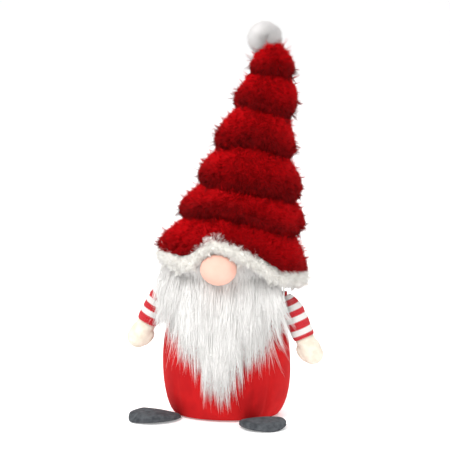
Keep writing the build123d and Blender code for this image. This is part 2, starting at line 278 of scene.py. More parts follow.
velour = cloth_finish("velour", (0.41, 0.005, 0.007), (0.51, 0.008, 0.009), 45.0, 1400.0, 0.0006, 0.2)
mitten_felt = cloth_finish("mitten_felt", (0.66, 0.59, 0.48), (0.77, 0.71, 0.61), 120.0, 1500.0, 0.0004)
foot_felt = cloth_finish("foot_felt", (0.040, 0.044, 0.050), (0.085, 0.092, 0.100), 150.0, 1300.0, 0.0004)
nose_cloth = cloth_finish(
    "nose_cloth", (0.78, 0.43, 0.34), (0.82, 0.48, 0.39), 60.0, 2600.0, 0.0001, sheen=0.1, roughness=0.6
)
stuffing = cloth_finish("stuffing", (0.86, 0.86, 0.84), (0.96, 0.96, 0.95), 80.0, 400.0, 0.001)
pouch_cloth = cloth_finish("pouch_cloth", (0.74, 0.73, 0.70), (0.82, 0.81, 0.78), 300.0, 2200.0, 0.0003)
pellets = cloth_finish("pellets", (0.78, 0.79, 0.82), (0.92, 0.92, 0.94), 350.0, 350.0, 0.002, 0.0, 0.4)
grey_board = cloth_finish("grey_board", (0.36, 0.32, 0.27), (0.46, 0.42, 0.36), 400.0, 900.0, 0.0002, 0.0)

# %% [markdown]
# ## Wire, knitting and floor
# Three finishes need something of their own: the wire is metal, the knitting takes its red or white
# from a `band` number on its stitches, and the floor gives off a little light.

# %% Wire, knitting and floor finishes
wire_metal, wire_shader = new_finish("wire_metal", 0.35, specular=0.5)
wire_shader.inputs["Metallic"].default_value = 1.0
wire_shades = ((0.3, (0.42, 0.42, 0.43)), (0.7, (0.6, 0.6, 0.61)))
wire_shade = ramp(wire_metal, noise(wire_metal, 900.0), wire_shades)
join(wire_metal, wire_shade, wire_shader.inputs["Base Color"])

knit, knit_shader = new_finish("knit", 0.85, 0.3, (1, 0.9, 0.9), 0.15)
white_and_red = ((0.45, (0.80, 0.78, 0.76)), (0.55, (0.56, 0.012, 0.022)))
yarn = ramp(knit, attribute(knit, "band"), white_and_red)
ply = ramp(knit, noise(knit, 1500.0, 4.0), ((0.3, (0.82, 0.82, 0.82)), (0.7, (1, 1, 1))))
join(knit, mix_colours(knit, 1.0, yarn, ply, "MULTIPLY"), knit_shader.inputs["Base Color"])
roughen(knit, knit_shader, noise(knit, 2500.0, 4.0), 0.4, 0.0004)

floor_finish, floor_shader = new_finish("floor", 0.9)
floor_shades = ((0.0, (0.93, 0.93, 0.93)), (1.0, (0.95, 0.95, 0.95)))
floor_shade = ramp(floor_finish, noise(floor_finish, 3.0), floor_shades)
join(floor_finish, floor_shade, floor_shader.inputs["Base Color"])
floor_shader.inputs["Emission Color"].default_value = (1.0, 1.0, 1.0, 1.0)
floor_shader.inputs["Emission Strength"].default_value = 0.24
floor.data.materials.append(floor_finish)
print("finishes", len(bpy.data.materials))

# %% [markdown]
# ## Pieces that keep their CAD shape
# The stuffing of the body and nose, the wire, the card, the pouch and the pellets keep the shape
# that they have in the frame and only get a finish. Every node gets one, by its material slot.

# %% Give each carried-over piece its finish
slot_finish = {
    "body_velour": velour, "base_felt": velour, "card": grey_board, "pouch_cloth": pouch_cloth,
    "pellets": pellets, "stuffing": stuffing, "nose_cloth": nose_cloth, "beard_felt": mitten_felt,
    "beard_fibre": beard_fibre, "sleeve_knit": velour, "hand_felt": mitten_felt,
    "foot_felt": foot_felt, "hat_plush": hat_pile, "brim_plush": brim_pile, "wire": wire_metal,
    "pompom_yarn": pompom_pile, "thread": pouch_cloth,
}
slot_of_node = {part["node"]: part["material_slot"] for part in frame["record"]["subparts"]}
for node_name, node in frame["nodes"].items():
    finish_of_node = slot_finish[slot_of_node[node_name]]
    if node.material_slots:
        for node_slot in node.material_slots:
            node_slot.material = finish_of_node
    else:
        node.data.materials.append(finish_of_node)
print("carried-over pieces", len(frame["nodes"]))

# %% [markdown]
# ## Stuffed forms
# A stuffed form is a half outline spun round an axis and then pushed into its creases. Spinning
# keeps the form even all round, and a crease is only a smaller radius, so it never cuts through.


# %% Spin a half outline into a form
def spun_form(outline, steps):
    """A bmesh of a half outline, (radius, height) from the bottom up, spun about Z."""
    form = bmesh.new()
    points = [form.verts.new((radius, 0, height)) for radius, height in outline]
    edges = [form.edges.new(pair) for pair in zip(points, points[1:])]
    bmesh.ops.spin(
        form, geom=points + edges, axis=(0, 0, 1), cent=(0, 0, 0), angle=2 * pi, steps=steps,
        use_merge=True,
    )
    bmesh.ops.remove_doubles(form, verts=form.verts, dist=0.001)
    bmesh.ops.recalc_face_normals(form, faces=form.faces)
    return form


def move_points(form, place):
    """Moves every point of a bmesh by a function of its position."""
    for point in form.verts:
        point.co = place(point.co)


def points_and_triangles(form):
    """Empties a bmesh into its points and triangles, in an order that is the same in every run."""
    form.verts.index_update()
    points = np.array([point.co for point in form.verts])
    triangles = []
    for face in form.faces:
        corners = [point.index for point in face.verts]
        first = corners.index(min(corners))
        corners = corners[first:] + corners[:first]
        triangles += [(corners[0], *pair) for pair in zip(corners[1:], corners[2:])]
    form.free()
    return points, np.array(sorted(triangles))


def to_piece(form, name, finish, smooth=True):
    """A finished piece from a bmesh drawn in millimetres, at the origin of the shared frame."""
    bmesh.ops.scale(form, vec=(MM, MM, MM), verts=form.verts)
    mesh = bpy.data.meshes.new(name)
    form.to_mesh(mesh)
    form.free()
    if smooth:
        mesh.shade_smooth()
    mesh.materials.append(finish)
    piece = bpy.data.objects.new(name, mesh)
    bpy.context.collection.objects.link(piece)
    return piece


# %% [markdown]
# ## Fibres
# Pile is one fibre shape, a thin three-sided spike, copied along thousands of short paths. Each path
# starts on the cloth, and the copies are written to the mesh all at once, which is much quicker
# than adding thousands of objects.


# %% The fibre shape
def fibre_shape(rings):
    """A spike with three sides and the given number of rings below its tip: each point's place
    across the fibre and its ring, and the triangles between them."""
    spike = bmesh.new()
    bmesh.ops.create_cone(spike, segments=3, radius1=1, radius2=0, depth=rings, cap_ends=False)
    bmesh.ops.remove_doubles(spike, verts=spike.verts, dist=0.001)
    for ring in range(1, rings):
        cut = Vector((0, 0, ring - rings / 2))
        everything = spike.verts[:] + spike.edges[:] + spike.faces[:]
        bmesh.ops.bisect_plane(spike, geom=everything, plane_co=cut, plane_no=(0, 0, 1))
    points, triangles = points_and_triangles(spike)
    ring_of_point = np.rint(points[:, 2] + rings / 2).astype(int)
    across = points[:, :2].copy()
    length = np.linalg.norm(across, axis=1)
    across[length > 0.001] /= length[length > 0.001][:, None]
    return across, ring_of_point, triangles


def grow(paths, widths, tones, taper=0.6):
    """Copies of the fibre along paths, an array of (fibre, ring, xyz). Returns the points, the
    triangles, and each point's share of the way along and its tone."""
    count, rings = paths.shape[0], paths.shape[1] - 1
    across, ring_of_point, triangles = fibre_shape(rings)
    run = paths[:, -1] - paths[:, 0]
    run /= np.linalg.norm(run, axis=1)[:, None] + 1e-9
    reference = np.where(np.abs(run[:, 2:3]) > 0.9, [[1.0, 0, 0]], [[0, 0, 1.0]])
    side = np.cross(run, reference)
    side /= np.linalg.norm(side, axis=1)[:, None]
    other = np.cross(run, side)
    thickness = (1 - ring_of_point / rings) ** taper
    points = paths[:, ring_of_point]
    points = points + (widths[:, None] * thickness)[:, :, None] * (
        across[None, :, :1] * side[:, None] + across[None, :, 1:] * other[:, None]
    )
    starts = np.arange(count)[:, None, None] * len(across)
    along = np.broadcast_to(ring_of_point / rings, (count, len(across)))
    tone = np.broadcast_to(tones[:, None], (count, len(across)))
    return points.reshape(-1, 3), (starts + triangles[None]).reshape(-1, 3), along.ravel(), tone.ravel()


def pile_piece(name, finish, parts):
    """One mesh of several lots of pile and cloth, each (points, triangles, along, tone)."""
    firsts = np.cumsum([0] + [len(part[0]) for part in parts[:-1]])
    points = np.concatenate([part[0] for part in parts]) * MM
    triangles = np.concatenate([part[1] + first for part, first in zip(parts, firsts)])
    mesh = bpy.data.meshes.new(name)
    mesh.vertices.add(len(points))
    mesh.vertices.foreach_set("co", points.astype(np.float32).ravel())
    mesh.loops.add(triangles.size)
    mesh.loops.foreach_set("vertex_index", triangles.astype(np.int32).ravel())
    mesh.polygons.add(len(triangles))
    mesh.polygons.foreach_set("loop_start", np.arange(0, triangles.size, 3, dtype=np.int32))
    mesh.update(calc_edges=True)
    for number, column in (("along", 2), ("tone", 3)):
        values = np.concatenate([part[column] for part in parts])
        layer = mesh.attributes.new(number, "FLOAT", "POINT")
        layer.data.foreach_set("value", values.astype(np.float32))
    mesh.shade_smooth()
    mesh.materials.append(finish)
    piece = bpy.data.objects.new(name, mesh)
    bpy.context.collection.objects.link(piece)
    print(name, "triangles", len(triangles))
    return piece


print("triangles in a straight and a bent fibre", [len(fibre_shape(rings)[2]) for rings in (1, 2)])

# %% [markdown]
# ## Places on cloth
# Fibres must be spread evenly over the cloth, however its triangles vary in size. So each place is
# picked in a triangle chosen by its area, from a random generator with a fixed seed.


# %% Pick places on cloth
def cloth_of(form, along=0.1):
    """A bmesh's points, triangles and pile numbers, for cloth that shows between its fibres."""
    # along is how far up the pile's colour ramp the cloth sits, so it takes painted root shade
    points, triangles = points_and_triangles(form)
    cloth_tone = 0.7
    return points, triangles, np.full(len(points), along), np.full(len(points), cloth_tone)


def scatter(cloth, count, random):
    """Random places spread evenly over cloth, with its facing and its tone at each, painted shade included."""
    points, triangles, _, shades = cloth
    corners = points[triangles]
    facing = np.cross(corners[:, 1] - corners[:, 0], corners[:, 2] - corners[:, 0])
    area = np.linalg.norm(facing, axis=1)
    facing_of_point = np.zeros_like(points)
    for corner in range(3):
        np.add.at(facing_of_point, triangles[:, corner], facing)
    facing_of_point /= np.linalg.norm(facing_of_point, axis=1)[:, None] + 1e-9
    chosen = random.choice(len(triangles), count, p=area / area.sum())
    first, second = random.random((2, count))
    outside = first + second > 1
    first[outside], second[outside] = 1 - first[outside], 1 - second[outside]
    weights = np.stack([1 - first - second, first, second], axis=1)
    places = (corners[chosen] * weights[:, :, None]).sum(axis=1)
    normals = (facing_of_point[triangles[chosen]] * weights[:, :, None]).sum(axis=1)
    return places, unit(normals), (shades[triangles[chosen]] * weights).sum(axis=1)


def unit(vectors):
    """The same directions with length 1."""
    return vectors / (np.linalg.norm(vectors, axis=-1, keepdims=True) + 1e-9)


def soft_noise(places, wave, random, waves=6):
    """Smooth random numbers from about -1 to 1 over space, so that near tufts are alike."""
    total = np.zeros(len(places))
    for _ in range(waves):
        direction = unit(random.normal(size=3)) / wave * random.uniform(0.6, 1.6)
        total += np.sin(places @ direction * 2 * pi + random.uniform(0, 2 * pi))
    return total / waves**0.5


# %% [markdown]
# ## Combed pile and tufts
# Real pile is brushed one way, but it clumps: neighbours lean and shorten together. A smooth noise
# over space does that for the short pile. Longer tufts that draw to a point break up the outline.


# %% Comb short pile and draw out tufts
root_depth = 0.5  # how far below the cloth a fibre starts


def comb(cloth, count, lie, lift, length, width, random, tuft, messy=0.2, uneven=0.15):
    """Short straight pile on cloth. It leans along lie, in tufts of about the given size."""
    places, normals, shades = scatter(cloth, count, random)
    swirl = np.stack([soft_noise(places, tuft, random) for _ in range(3)], axis=1)
    leaning = unit(lie - normals * (normals @ np.array(lie))[:, None])
    loose = swirl * messy + random.normal(size=(count, 3)) * 0.12
    run = unit(normals * lift + leaning * (1 - lift) + loose)
    lengths = length * random.uniform(0.7, 1.1, count)
    lengths = lengths * (1 + uneven * soft_noise(places, tuft * 1.5, random))
    # shades hold the cloth's tone, on the hat its painted light and shade; patches vary it by tuft
    patches = 0.07 * soft_noise(places, tuft, random)
    tones = np.clip(shades + patches + random.normal(size=count) * 0.08, 0, 1)
    path = [places - normals * root_depth, places + run * lengths[:, None]]
    return grow(np.stack(path, axis=1), np.full(count, width), tones)


def spiky_tufts(cloth, count, per_tuft, length, width, random):
    """Tufts of longer fibres that stand out from cloth and draw together to a point."""
    places, normals, shades = scatter(cloth, count, random)
    tuft = np.repeat(np.arange(count), per_tuft)
    total = len(tuft)
    root_spread, tip_spread, straying_most = 1.5, 1.1, 1.8
    roots = places[tuft] + random.normal(size=(total, 3)) * root_spread
    reach = length * random.uniform(0.75, 1.1, count)
    straying = np.clip(random.normal(size=(count, 3)), -straying_most, straying_most) * 2.5
    points = places + normals * reach[:, None] + straying - [0, 0, 1.5]
    tips = points[tuft] + random.normal(size=(total, 3)) * tip_spread
    middles = roots * 0.45 + tips * 0.55 + random.normal(size=(total, 3)) * 0.4
    tones = np.clip(shades[tuft] - 0.1 + random.normal(size=total) * 0.08, 0, 1)
    return grow(np.stack([roots, middles, tips], axis=1), np.full(total, width), tones)


# %% [markdown]
# ## The hat
# The hat is one tall cone of plush, stuffed and pushed down on its wire until it stacks into
# bulges. Below each fold the cloth slopes out like a roof, and just above it the cloth is tucked
# under. The folds climb at the front, where the hat rides up over the nose. The hat is made in
# three lengths that meet in creases.

# %% The hat's line and the shape of its bulges
line_heights = (170.0, 182.0, 231.0, 267.7, 320.0, 368.5, 416.5, 445.0)
line_sides = (4.5, 7.5, 16.5, 23.5, 33.0, 44.5, 54.5, 56.5)
# for each crease: height on the hat's line, the cloth's radius there and how far it climbs in front
creases = (
    (176.0, 75.0, 0.0), (231.0, 60.0, 13.0), (268.5, 49.0, 12.0), (320.0, 36.5, 10.0),
    (368.5, 26.0, 7.0), (414.0, 17.5, 4.0), (448.0, 7.0, 0.0),
)
bulges = (15.5, 14.0, 12.5, 10.8, 9.2, 7.5)  # how far each fold swells past the line of its creases
first_fold = creases[1][0]
skirt_height = 49.0  # how far below the first fold the cloth still follows the rise over the nose
# how far the hat's edge is pushed up over the nose, at distances to the right
brim_sides = (-56, -46, -34, -22, -8, 2, 14, 28, 42, 56, 74)
brim_rises = (0, 0, 6, 21, 35, 35, 32, 28, 23, 15, 5)
heights_fine = np.linspace(line_heights[0], line_heights[-1], 400)
sides_fine = np.interp(heights_fine, line_heights, line_sides)
smoothing = np.hanning(61) / np.hanning(61).sum()
sides_fine = np.convolve(np.pad(sides_fine, 30, mode="edge"), smoothing, mode="valid")
tilt_fine = np.arctan(np.gradient(sides_fine, heights_fine)) * 0.8
print("the hat leans", round(float(sides_fine[-1] - sides_fine[0]), 1), "mm to the right")

# %% [markdown]
# ## Folding the cloth of the hat
# A point on the hat is given by its turn round the hat's line, its height along it and its radius.
# One function turns these into a place, with the lean, the climb of the folds and the rise over
# the nose, so that cloth and creases always agree.


# %% Find where a point of the hat lies
def hat_radius(height):
    """The cloth's distance from the hat's line at a height along it."""
    for (low, low_radius, _), (high, high_radius, _), bulge in zip(creases, creases[1:], bulges):
        if height <= high:
            share = max(0.0, (height - low) / (high - low))
            fullest, rest = 0.24, 0.76  # a fold is fullest low down, then slopes in like a roof
            if share < fullest:
                swell = (share / fullest) ** 0.5
            else:
                swell = cos((share - fullest) / rest * pi / 2) ** 1.15
            return low_radius + (high_radius - low_radius) * share + bulge * swell
    return 0.0


def brim_rise(side):
    """How far the hat's edge is pushed up over the nose, at a distance to the right."""
    return np.interp(side, brim_sides, brim_rises)


def climb(height):
    """How far a ring of the hat climbs at the front."""
    return np.interp(height, [c[0] for c in creases], [c[2] for c in creases])


def rise_at(turn, side, height):
    """How far the cloth is pushed up over the nose; this fades out towards the first fold."""
    if sin(turn) >= 0 or height >= first_fold:
        return 0.0
    share = (first_fold - height) / skirt_height
    return brim_rise(side) * share**1.2 * min(1.0, -2.5 * sin(turn))


def on_hat(turn, height, radius):
    """The place in the shared frame of a point on the hat."""
    middle = np.interp(height, heights_fine, sides_fine)
    tilt = np.interp(height, heights_fine, tilt_fine)
    side = radius * cos(turn)
    lift = climb(height) * max(0.0, -sin(turn)) ** 1.5 + rise_at(turn, middle + side, height)
    waves = 3.4 * sin(2 * turn + height * 0.05) + 2.2 * sin(3 * turn - height * 0.08 + 1)
    lift += waves * np.interp(height, (215, 250, 400, 440), (0, 1, 0.6, 0))
    return Vector((
        middle + side * cos(tilt) + lift * sin(tilt),
        radius * sin(turn) * (depth_ratio - 0.03 * max(0.0, sin(turn))),
        height - side * sin(tilt) + lift,
    ))


print("rise of the edge over the nose", brim_rise(0.0), "mm")

# %% [markdown]
# ## Sewing the hat
# Each length is spun as a plain tube and every point is then moved to its place on the hat. Its pile
# is painted darker in the folds, a painted shade where little light gets in, and painted lighter on
# top of each bulge.


# %% Cut one length of the hat
def lumps(turn, height):
    """Slow dents and swellings that stuffing leaves in cloth, as a share of the radius."""
    return 0.028 * sin(3 * turn + height * 0.05) + 0.024 * sin(5 * turn - height * 0.11 + 1.3)


def painted_fold_shading(height):
    """Painted light on the pile on top of a bulge, and painted shade in the fold below it."""
    for (low, _, _), (high, _, _) in zip(creases, creases[1:]):
        if height <= high:
            share = (height - low) / (high - low)
            return np.interp(share, (0, 0.15, 0.35, 0.6, 0.9, 1), (0.05, 0.15, 0.4, 0.85, 1.0, 0.55))
    return 0.9


def hat_length(low, high, close_top):
    """The cloth of one length of the hat, from a height on its line to another."""
    outline = [(1.0, height) for height in np.arange(low, high + 0.01, 1.75)]
    if close_top:
        outline.append((0.0, high))
    form = spun_form(outline, 96)

    def place(point):
        turn = np.arctan2(point.y, point.x)
        radius = hat_radius(point.z) * (1 + lumps(turn, point.z))
        return on_hat(turn, point.z, radius if point.xy.length > 0.5 else 0.0)

    # painted light and shade: each point's tone comes from its height in its fold
    tones = np.array([painted_fold_shading(point.co.z) for point in form.verts])
    move_points(form, place)
    points, triangles, along, _ = cloth_of(form, 0.3)
    return points, triangles, along, tones


# %% Sew the hat's three lengths and give them their pile
random = np.random.default_rng(11)
# for each length: its ends on the hat's line, its numbers of short and long fibres, its CAD nodes
hat_lengths = (
    ("hat_lower_length", 191.0, 268.5, 46000, 4200, ("hat_skirt", "hat_base_filling")),
    ("hat_middle_length", 268.5, 368.5, 46000, 3600, ("hat_middle_cover", "hat_middle_filling")),
    ("hat_top_length", 368.5, 447.0, 26000, 1800,
     ("hat_upper_cover", "hat_upper_filling", "hat_tip_cover", "hat_tip_filling")),
)
per_tuft = 6
hat_pieces = {}
for name, low, high, count, long_count, nodes in hat_lengths:
    cloth = hat_length(low, high, name == "hat_top_length")
    short_pile = comb(cloth, count, (0.1, 0.0, -1.0), 0.6, 7.5, 0.42, random, tuft=9.0)
    long_pile = spiky_tufts(cloth, long_count // per_tuft, per_tuft, 12.5, 0.24, random)
    hat_pieces[name] = pile_piece(name, hat_pile, (cloth, short_pile, long_pile))
    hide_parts(*nodes)


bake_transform(hat_pieces["hat_lower_length"])
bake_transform(hat_pieces["hat_middle_length"])
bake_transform(hat_pieces["hat_top_length"])

# %% [markdown]
# ## The brim
# A soft roll of short off-white plush is sewn round the hat's edge. It follows the edge up over
# the nose, so its ring is lifted there by the same rise as the hat.

# %% Roll the brim and give it its pile
brim_radius = 80.5
brim_drop = 50.5  # from the first fold down the brim's slanting axis to the roll
brim_tilt = radians(10)
axis_side, axis_height = 16.0, 231.0  # where that axis meets the first fold
roll_size = 8.0
roll_middle = 100.0  # the roll is spun at this radius and then moved to its place


def on_brim(turn, outward, upward):
    """A point of the brim, from a place on the roll's section."""
    side = (brim_radius + outward) * cos(turn)
    drop = brim_drop - upward
    x = axis_side + side * cos(brim_tilt) - drop * sin(brim_tilt)
    z = axis_height - drop * cos(brim_tilt) - side * sin(brim_tilt)
    rise = brim_rise(x) * min(1.0, max(0.0, -2.5 * sin(turn)))
    return Vector((x, (brim_radius + outward) * sin(turn) * depth_ratio, z + rise))


roll_angles = np.linspace(-pi, pi, 25)
roll = [(roll_middle + roll_size * cos(angle), roll_size * sin(angle)) for angle in roll_angles]
brim_form = spun_form(roll, 120)
move_points(brim_form, lambda p: on_brim(np.arctan2(p.y, p.x), p.xy.length - roll_middle, p.z))
brim_cloth = cloth_of(brim_form, 0.5)
brim_lot = comb(
    brim_cloth, 40000, (0.0, 0.0, -1.0), 0.85, 5.5, 0.36, random, tuft=5.0, messy=0.5, uneven=0.3
)
brim_tufts = spiky_tufts(brim_cloth, 500, 10, 7.0, 0.34, random)
brim = pile_piece("hat_brim_roll", brim_pile, (brim_cloth, brim_lot, brim_tufts))
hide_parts("hat_brim")
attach(brim, "body")

# %% [markdown]
# ## The pompom
# A ball of soft fibre is tied at the back of the hat's tip. Its fibres stand straight out from a
# small core and are very fine, which makes the ball look soft where its outline thins out.

# %% Tie the pompom
pompom_low, pompom_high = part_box("pompom")
pompom_middle = np.array([(a + b) / 2 / MM for a, b in zip(pompom_low, pompom_high)])
ball = bmesh.new()
bmesh.ops.create_icosphere(ball, subdivisions=3, radius=11.0)
bmesh.ops.translate(ball, vec=pompom_middle, verts=ball.verts)
ball_cloth = cloth_of(ball, 0.2)
ball_lot = comb(
    ball_cloth, 56000, (0.2, -0.9, -0.5), 0.97, 11.0, 0.22, random, tuft=3.0, messy=0.25, uneven=0.05
)
pompom = pile_piece("pompom_ball", pompom_pile, (ball_cloth, ball_lot))
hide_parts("pompom")
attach(pompom, "hat_tip")

# %% [markdown]
# ## The body
# Two panels of velour make a tall bag. Its seams run up both sides, and the cloth has a few soft
# upright folds where the heavy pouch pulls it down.

# %% Measure the body on the frame
panel_points = np.concatenate([
    [point.co / MM for point in frame["nodes"][panel].data.vertices]
    for panel in ("body_panel_front", "body_panel_back")
])
panel_radii = np.hypot(panel_points[:, 0], panel_points[:, 1] / depth_ratio)
panel_heights = np.arange(1.0, 209.0, 3.0)
panel_outline = [
    panel_radii[np.abs(panel_points[:, 2] - height) < 3.0].max() for height in panel_heights
]


def body_radius(height):
    """The body's half width at a height, measured on the frame."""
    return np.interp(height, [0.2, *panel_heights, 210.0], [54.0, *panel_outline, 2.0])


print("the body is", round(2 * max(panel_outline)), "mm wide")

# %% [markdown]
# ## Pleats and seams
# The bag is spun smooth first. Each pleat is then a narrow upright dent that is deepest a little
# above the floor, and each side seam is a thin groove, so that the shape itself carries them.

# %% Spin the bag and press in its pleats
fine_heights = np.concatenate([np.linspace(0.3, 20, 16), np.linspace(23, 209, 70), [210.0]])
soft_radii = np.array([body_radius(height) for height in fine_heights]) + 0.8
soft_radii[2:-2] = np.convolve(soft_radii, [0.1, 0.2, 0.4, 0.2, 0.1], mode="valid")
body_form = spun_form([(0.0, 0.3), *zip(soft_radii, fine_heights)], 144)
# each pleat: where it is round the body, how deep and how wide
pleats = (
    (-1.02, 3.2, 0.045), (-0.72, 2.8, 0.04), (-1.95, 1.0, 0.06), (-2.4, 1.2, 0.05),
    (1.2, 1.2, 0.06), (2.1, 1.3, 0.06),
)


def body_cloth(point):
    """Adds the side seams, pleats and soft dents to the round bag, then narrows it."""
    turn = np.arctan2(point.y, point.x)
    radius = point.xy.length
    if radius < 1:
        return point
    low = max(0.0, 1 - abs(point.z - 30) / 75)
    change = 0.4 * sin(4 * turn + point.z * 0.03) + 0.3 * sin(7 * turn - point.z * 0.05 + 2)
    for where, depth, spread in pleats:
        change -= depth * low * np.exp(-((turn - where - 0.0008 * point.z) / spread) ** 2)
    seam_depth, seam_spread = 0.9, 0.03
    for seam in (0.0, pi, -pi):
        change -= seam_depth * np.exp(-((turn - seam) / seam_spread) ** 2)
    change *= min(1.0, point.z / 8)
    grown = (radius + change) / radius
    return Vector((point.x * grown, point.y * grown * depth_ratio, point.z))


move_points(body_form, body_cloth)
body = to_piece(body_form, "body_cover", velour)
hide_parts("body_panel_front", "body_panel_back")
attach(body, "body")
print("body_cover points", len(body.data.vertices))

# %% [markdown]
# ## The nose
# A ball of thin stretch cloth, pulled tight over its stuffing.

# %% Stuff the nose
nose_low, nose_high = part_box("nose_cover")
nose_middle = Vector([(a + b) / 2 / MM for a, b in zip(nose_low, nose_high)])
nose_size = Vector([(b - a) / 2 / MM for a, b in zip(nose_low, nose_high)])
nose_form = bmesh.new()
bmesh.ops.create_uvsphere(nose_form, u_segments=64, v_segments=40, radius=1.0)


def nose_cloth_place(point):
    """The tight ball, a little pointed below, with a dimple at its right where thread pulls."""
    dimple = np.exp(-((point - Vector((0.93, -0.35, 0.05))).length / 0.22) ** 2)
    grown = point * (1.0 - 0.07 * dimple + 0.03 * max(0.0, -point.z) ** 4)
    return Vector([a * b for a, b in zip(grown, nose_size)]) + nose_middle


move_points(nose_form, nose_cloth_place)
nose = to_piece(nose_form, "nose_ball", nose_cloth)
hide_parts("nose_cover")
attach(nose, "body")
print("nose_ball points", len(nose.data.vertices))

# %% [markdown]
# ## The beard
# The beard is a piece of long-haired plush on the face, and it hangs over the body. Before any
# fibre grows, two helpers say how far forward the body reaches and how high a fibre may start.

# %% Find the face under the beard
def face_depth(side, height):
    """How far forward of the gnome's middle the body, arms or face reach at a place in front."""
    half_width = np.maximum(body_radius(height), np.interp(height, (165, 180), (0, 64)))
    body_depth = depth_ratio * np.sqrt(np.maximum(half_width**2 - np.asarray(side) ** 2, 0))
    arm_depth = np.interp(height, (55, 95, 150, 175), (0, 34, 37, 30)) * (np.abs(side) > 42)
    return np.maximum(body_depth, arm_depth)


def root_ceiling(side):
    """The highest that a fibre can start at a distance to the right, below the brim and nose."""
    edge_drop, edge_side = 61.0, 5.4  # the brim's lower edge, down its axis and to the right
    slope = (side - edge_side) * sin(brim_tilt)
    edge = axis_height - edge_drop * cos(brim_tilt) - slope + brim_rise(side)
    under_nose = 188.0 - 17.0 * np.sqrt(np.maximum(1 - (side / 25.0) ** 2, 0))
    return np.where(np.abs(side) < 22.0, np.minimum(edge, under_nose), edge) + 5.0


print("a fibre under the nose starts below", round(float(root_ceiling(0.0)), 1), "mm")

# %% [markdown]
# ## Locks
# Long fibre hangs in locks that draw together to points. Each lock has a path of its own over the
# chest, and its fibres start spread out and gather to that path. Locks in front bulge out further
# than those behind, and each has a shade of its own.


# %% Lay out the fibres of many locks
# how low the locks reach at distances to the right
lock_sides = (-68, -55, -35, -20, 0, 18, 35, 50, 62)
lock_lowest = (112, 86, 56, 22, 13, 20, 46, 66, 84)


def beard_lot(locks, per_lock, rings, random):
    """Fibres in locks: paths from the face down over the body, gathered towards their tips."""
    side = random.uniform(-69, 66, locks)
    top = root_ceiling(side)
    start = top - random.random(locks) ** 1.8 * np.interp(np.abs(side), (0, 35, 65), (75, 50, 22))
    lowest = np.interp(side, lock_sides, lock_lowest)
    reach = np.interp(random.random(locks), (0, 0.45, 0.8, 1), (0.45, 0.68, 0.85, 1.02))
    shortest = 30
    end = np.minimum(start - (start - lowest) * reach, start - shortest)
    drift = side * np.interp(np.abs(side), (0, 30, 60), (-0.15, -0.05, 0.22))
    drift = drift + random.normal(size=locks) * 6.0
    fall = np.linspace(0, 1, rings + 1)
    lock_wave = random.uniform(0, 2 * pi, locks)
    lock_depth = random.uniform(0.2, 1.0, locks)
    fibre = np.repeat(np.arange(locks), per_lock)
    count = len(fibre)
    spread = random.normal(size=(count, 2)) * [3.6, 2.2]
    fall_of_fibre = np.minimum(fall[None] * random.uniform(0.72, 1.06, count)[:, None], 1.08)
    gather = 1 - 0.9 * fall_of_fibre**1.3  # fibres of a lock come together towards its tip
    x = side[fibre, None] + drift[fibre, None] * fall_of_fibre**1.3 + spread[:, :1] * gather
    x = x + 1.6 * np.sin(fall_of_fibre * 5 + lock_wave[fibre, None]) * fall_of_fibre
    x = x + random.normal(size=(count, 1)) * 1.4 * fall_of_fibre**2
    z = start[fibre, None] + spread[:, 1:] - (start - end)[fibre, None] * fall_of_fibre
    bulk = np.interp(z, (10, 60, 120, 165, 190), (2.5, 6, 12, 12, 7))
    bow = np.sin(np.clip(fall_of_fibre, 0, 1) * 2.6 + 0.15)
    out = 0.6 + bulk * (0.25 + 0.75 * lock_depth[fibre, None]) * bow
    y = -face_depth(x, np.maximum(z, 4)) - np.maximum(out, 0.6) - random.random((count, 1)) * 1.5
    lock_tone = 0.62 + 0.22 * np.sin(lock_wave[fibre] * 7)
    tones = np.clip(lock_tone + random.normal(size=count) * 0.12, 0, 1)
    widths = random.uniform(0.26, 0.44, count)
    return grow(np.stack([x, y, np.maximum(z, 6)], axis=2), widths, tones, taper=0.5)


# %% [markdown]
# ## Growing the beard
# Three layers over one another keep each mesh small enough, and single loose fibres over the last
# one soften the edge where the beard meets the body and the sleeves.


# %% Grow the beard
def stray_lot(count, rings, random):
    """Single fibres that have come loose and lie across the body and sleeves."""
    on_right = random.random(count) < 0.6
    side = np.where(on_right, random.uniform(20, 58, count), random.uniform(-64, 10, count))
    start = root_ceiling(side) - random.random(count) * 30
    length = random.uniform(55, 110, count)
    drift = np.sign(side) * random.uniform(-12, 34, count)
    fall = np.linspace(0, 1, rings + 1)[None]
    wave = random.uniform(0, 2 * pi, (count, 1))
    x = side[:, None] + drift[:, None] * fall**1.4 + 2.4 * np.sin(fall * 4 + wave) * fall
    z = np.maximum(start[:, None] - length[:, None] * fall, 8)
    y = -face_depth(x, z) - 2.0 - 9 * np.sin(fall * 2.8 + 0.1) * random.uniform(0.4, 1.0, (count, 1))
    return grow(np.stack([x, y, z], axis=2), np.full(count, 0.34), random.uniform(0.6, 1, count))


for name in ("beard_under_layer", "beard_middle_layer", "beard_top_layer"):
    lots = [beard_lot(150, 17, 9, random)]
    if name == "beard_top_layer":
        lots.append(stray_lot(420, 9, random))
    layer = pile_piece(name, beard_fibre, lots)
    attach(layer, "body")
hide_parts("beard_backing", "beard_pile")

# %% [markdown]
# ## The arms
# An arm hangs from its shoulder seam and is tilted out. It is drawn hanging straight down from the
# origin, where its measures are easy, and one matrix then takes it to the seam and tilts it.

# %% Place an arm
# for each arm: which way is out along X, its tilt in degrees, and the heights above the cuff where
# the knitting changes colour
arm_sides = (
    ("right", 1, 23.1, (4, 12, 20, 27, 35, 42, 50, 70)),
    ("left", -1, 27.2, (8, 15, 23, 30, 38, 45, 53, 70)),
)
sleeve_end = 56.0
joint_place = {joint["name"]: Vector(joint["pos_m"]) / MM for joint in frame["joints"]}


